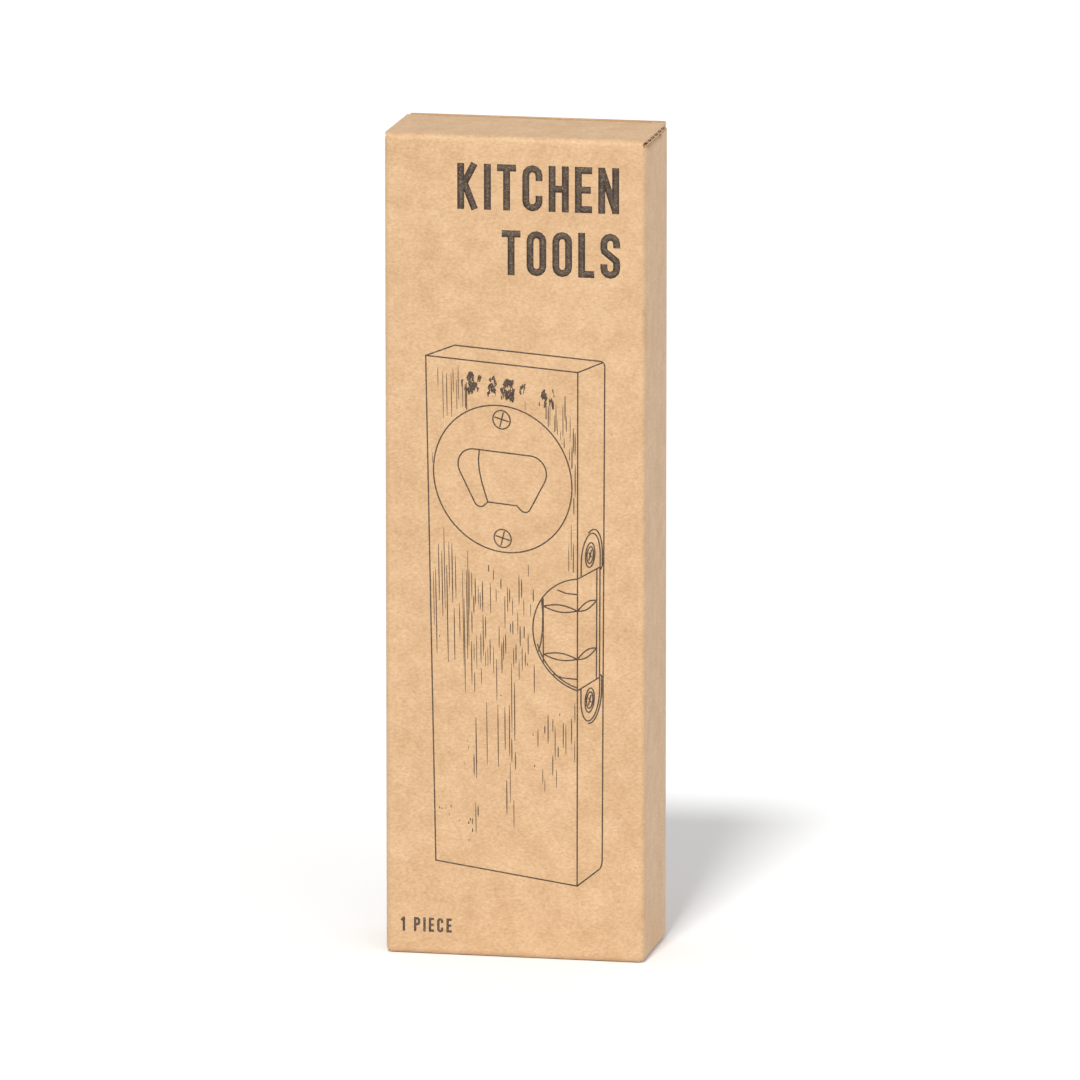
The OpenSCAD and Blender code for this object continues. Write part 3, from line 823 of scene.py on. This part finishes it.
# A worn patch near the top: small ragged blots, thick at the left and thin at the right
blots = []
for middle, spread, count, size in ((-7.8, 2.4, 22, 0.9), (-2.6, 1.8, 16, 0.7), (2.0, 2.4, 34, 1.0),
                                    (5.6, 1.0, 9, 0.5), (11.2, 0.9, 16, 0.8), (13.4, 0.5, 7, 0.6)):
    for _ in range(count):
        x, z = chance.gauss(middle, spread * 0.45), 60.6 + chance.uniform(-2.2, 2.2) - 0.08 * middle
        points, thick = [], size * chance.uniform(0.4, 1.6)
        for step in range(4):
            points.append(drawn(
                x + chance.uniform(-0.25, 0.25), 0, z - 0.5 * step * chance.uniform(0.5, 1.3),
                thick * (0.35 if step in (0, 3) else chance.uniform(0.6, 1.2))
            ))
        blots.append(points)
printed("drawing_worn_patch", blots, 0.6 * MM, mitred=False)

# ---- The opener's block ----------------------------------------------------------------------
# One piece of pale hardwood, planed, with its edges eased. The plate's recess, the cap pocket
# and the level's pocket are milled into it. It stands on the carton's floor.


def machined(node, name, edge, segments=2):
    """A machined piece on the node's own shape, with its sharp edges broken by the given width."""
    piece = copy_of(frame["nodes"][node], name)
    piece.parent = None
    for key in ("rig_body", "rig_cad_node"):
        del piece[key]
    pick(piece, "FACE", lambda at, way: True)
    bpy.ops.mesh.remove_doubles(threshold=0.001 * MM)
    bpy.ops.mesh.dissolve_limited(angle_limit=math.radians(0.5))
    leave_edit()
    if edge:
        shape_with(piece, "BEVEL", width=edge, segments=segments, limit_method="ANGLE",
                   angle_limit=math.radians(50), use_clamp_overlap=True)
    return settle(piece)


def fitted(piece, node, body, paint):
    piece.data.materials.clear()
    piece.data.materials.append(paint)
    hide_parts(node)
    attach(piece, body)


wood = Finish("block_wood", 0.48, Specular_IOR_Level=0.4)
rings = wood.ramp(
    wood.cloud(wood.stretched(130, 60, 7), 1, 4, 0.55, 1.1),
    (0.28, (0.50, 0.29, 0.13)), (0.5, (0.66, 0.42, 0.21)), (0.72, (0.76, 0.52, 0.29))
)
grain_lines = wood.ramp(wood.cloud(wood.stretched(900, 700, 16), 1, 3, 0.6), (0.36, 0.78), (0.6, 1.04))
pores = wood.ramp(wood.cloud(wood.stretched(3200, 2600, 90), 1, 1), (0.62, 0.0), (0.7, 1.0))
wood_tone = wood.blend(
    wood.blend(rings, grain_lines, 1.0, "MULTIPLY"), (0.22, 0.11, 0.05), wood.blend((0, 0, 0), pores, 0.5)
)
wood_feel = wood.bump(wood.cloud(wood.stretched(1600, 1400, 30), 1, 3), 0.4, 0.02 * MM)
wood_paint = wood.done(wood_tone, wood_feel, wood.ramp(grain_lines, (0.7, 0.56), (1.0, 0.42)))
block = machined("wood_block", "hardwood_block", 0.12 * MM)
fitted(block, "wood_block", "opener", wood_paint)

# ---- Plate and its screws --------------------------------------------------------------------
# A round plate stamped from 2 mm stainless steel, brushed across its face, with the cap mouth
# punched out of it. Two countersunk cross-head screws hold it in its recess.
steel = Finish("plate_steel", 0.3, Metallic=1.0)
brushing = steel.cloud(steel.stretched(90, 900, 9000), 1, 3, 0.7)
steel_tone = steel.ramp(brushing, (0.3, (0.50, 0.50, 0.49)), (0.7, (0.68, 0.68, 0.67)))
steel_paint = steel.done(steel_tone, steel.bump(brushing, 0.25, 0.006 * MM),
                         steel.ramp(brushing, (0.3, 0.26), (0.7, 0.4)))
plate = machined("opener_plate", "cap_plate", 0.18 * MM, 3)
fitted(plate, "opener_plate", "opener", steel_paint)

screw_metal = Finish("screw_steel", 0.34, Metallic=1.0)
turned = screw_metal.cloud(screw_metal.stretched(2500, 2500, 2500), 1, 3, 0.6)
screw_paint = screw_metal.done(
    screw_metal.ramp(turned, (0.3, (0.42, 0.42, 0.41)), (0.7, (0.62, 0.62, 0.61))),
    screw_metal.bump(turned, 0.2, 0.006 * MM)
)
for node in ("plate_screw_upper", "plate_screw_lower", "level_screw_upper", "level_screw_lower"):
    fitted(machined(node, node.replace("screw", "wood_screw"), 0.05 * MM), node, "opener",
           screw_paint)

# ---- Level -----------------------------------------------------------------------------------
# A half-moon of cast acrylic with a bored vial, let into the block's edge and screwed down by
# its two ears. A plug seals the bore, which holds tinted spirit, two rings and one bubble.
acrylic = Finish("clear_acrylic", 0.04, Transmission_Weight=0.92, IOR=1.18, Alpha=0.5)
haze = acrylic.cloud(acrylic.place, 300, 3)
acrylic_paint = acrylic.done(
    acrylic.ramp(haze, (0.3, (0.86, 0.95, 0.92)), (0.7, (0.92, 0.98, 0.96))),
    acrylic.bump(acrylic.cloud(acrylic.place, 900, 2), 0.05, 0.01 * MM),
    acrylic.ramp(haze, (0.3, 0.03), (0.7, 0.09))
)
level_block = machined("level_body", "level_block", 0.15 * MM, 3)
fitted(level_block, "level_body", "opener", acrylic_paint)
bore_plug = machined("vial_plug", "bore_plug", 0.1 * MM)
fitted(bore_plug, "vial_plug", "opener", acrylic_paint)

lacquer = Finish("ring_black", 0.25, Coat_Weight=0.5)
lacquer_paint = lacquer.done(lacquer.ramp(
    lacquer.cloud(lacquer.place, 1500, 2), (0.3, (0.012, 0.012, 0.013)), (0.7, (0.03, 0.03, 0.03))
))
for node in ("marker_ring_upper", "marker_ring_lower"):
    fitted(machined(node, node + "_band", 0.05 * MM), node, "opener", lacquer_paint)

bore_gap = 0.03 * MM
vial_end_gap = 0.02 * MM
vial_low, vial_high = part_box("spirit_fill")
vial_middle = (vial_low + vial_high) / 2
vial_r = (vial_high.x - vial_low.x) / 2 - bore_gap
vial_l = vial_high.z - vial_low.z - 2 * vial_end_gap
bpy.ops.object.select_all(action="DESELECT")
bpy.ops.mesh.primitive_cylinder_add(vertices=64, radius=vial_r, depth=vial_l, location=vial_middle)
liquid = bpy.context.object
liquid.name = "vial_spirit"
pick(liquid, "EDGE", lambda at, way: abs(way.z) < 0.1)
bpy.ops.mesh.bevel(offset=0.4 * MM, segments=3, affect="EDGES")
leave_edit()
spirit = Finish("spirit", 0.03, Transmission_Weight=0.7, IOR=1.12, Alpha=0.85)
spirit_paint = spirit.done(
    spirit.ramp(spirit.cloud(spirit.place, 220, 1), (0.3, (0.66, 0.90, 0.12)), (0.7, (0.74, 0.95, 0.2)))
)
fitted(settle(liquid), "spirit_fill", "opener", spirit_paint)

bubble_low, bubble_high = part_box("bubble")
bubble_middle, bubble_size = (bubble_low + bubble_high) / 2, bubble_high - bubble_low
bpy.ops.mesh.primitive_cylinder_add(
    vertices=48, radius=bubble_size.x / 2 - 0.25 * MM, depth=bubble_size.z, location=bubble_middle
)
air = bpy.context.object
air.name = "air_bubble"
pick(air, "EDGE", lambda at, way: abs(way.z) < 0.1)
bpy.ops.mesh.bevel(offset=2.2 * MM, segments=6, affect="EDGES")
leave_edit()
shape_with(air, "SUBSURF", levels=1, render_levels=1)
thin_air = Finish("bubble_air", 0.02, Transmission_Weight=0.6, IOR=1.12)
air_paint = thin_air.done(
    thin_air.ramp(thin_air.cloud(thin_air.place, 400, 1), (0.3, (0.94, 1.0, 0.82)), (0.7, (0.98, 1.0, 0.9)))
)
fitted(settle(air), "bubble", "bubble", air_paint)
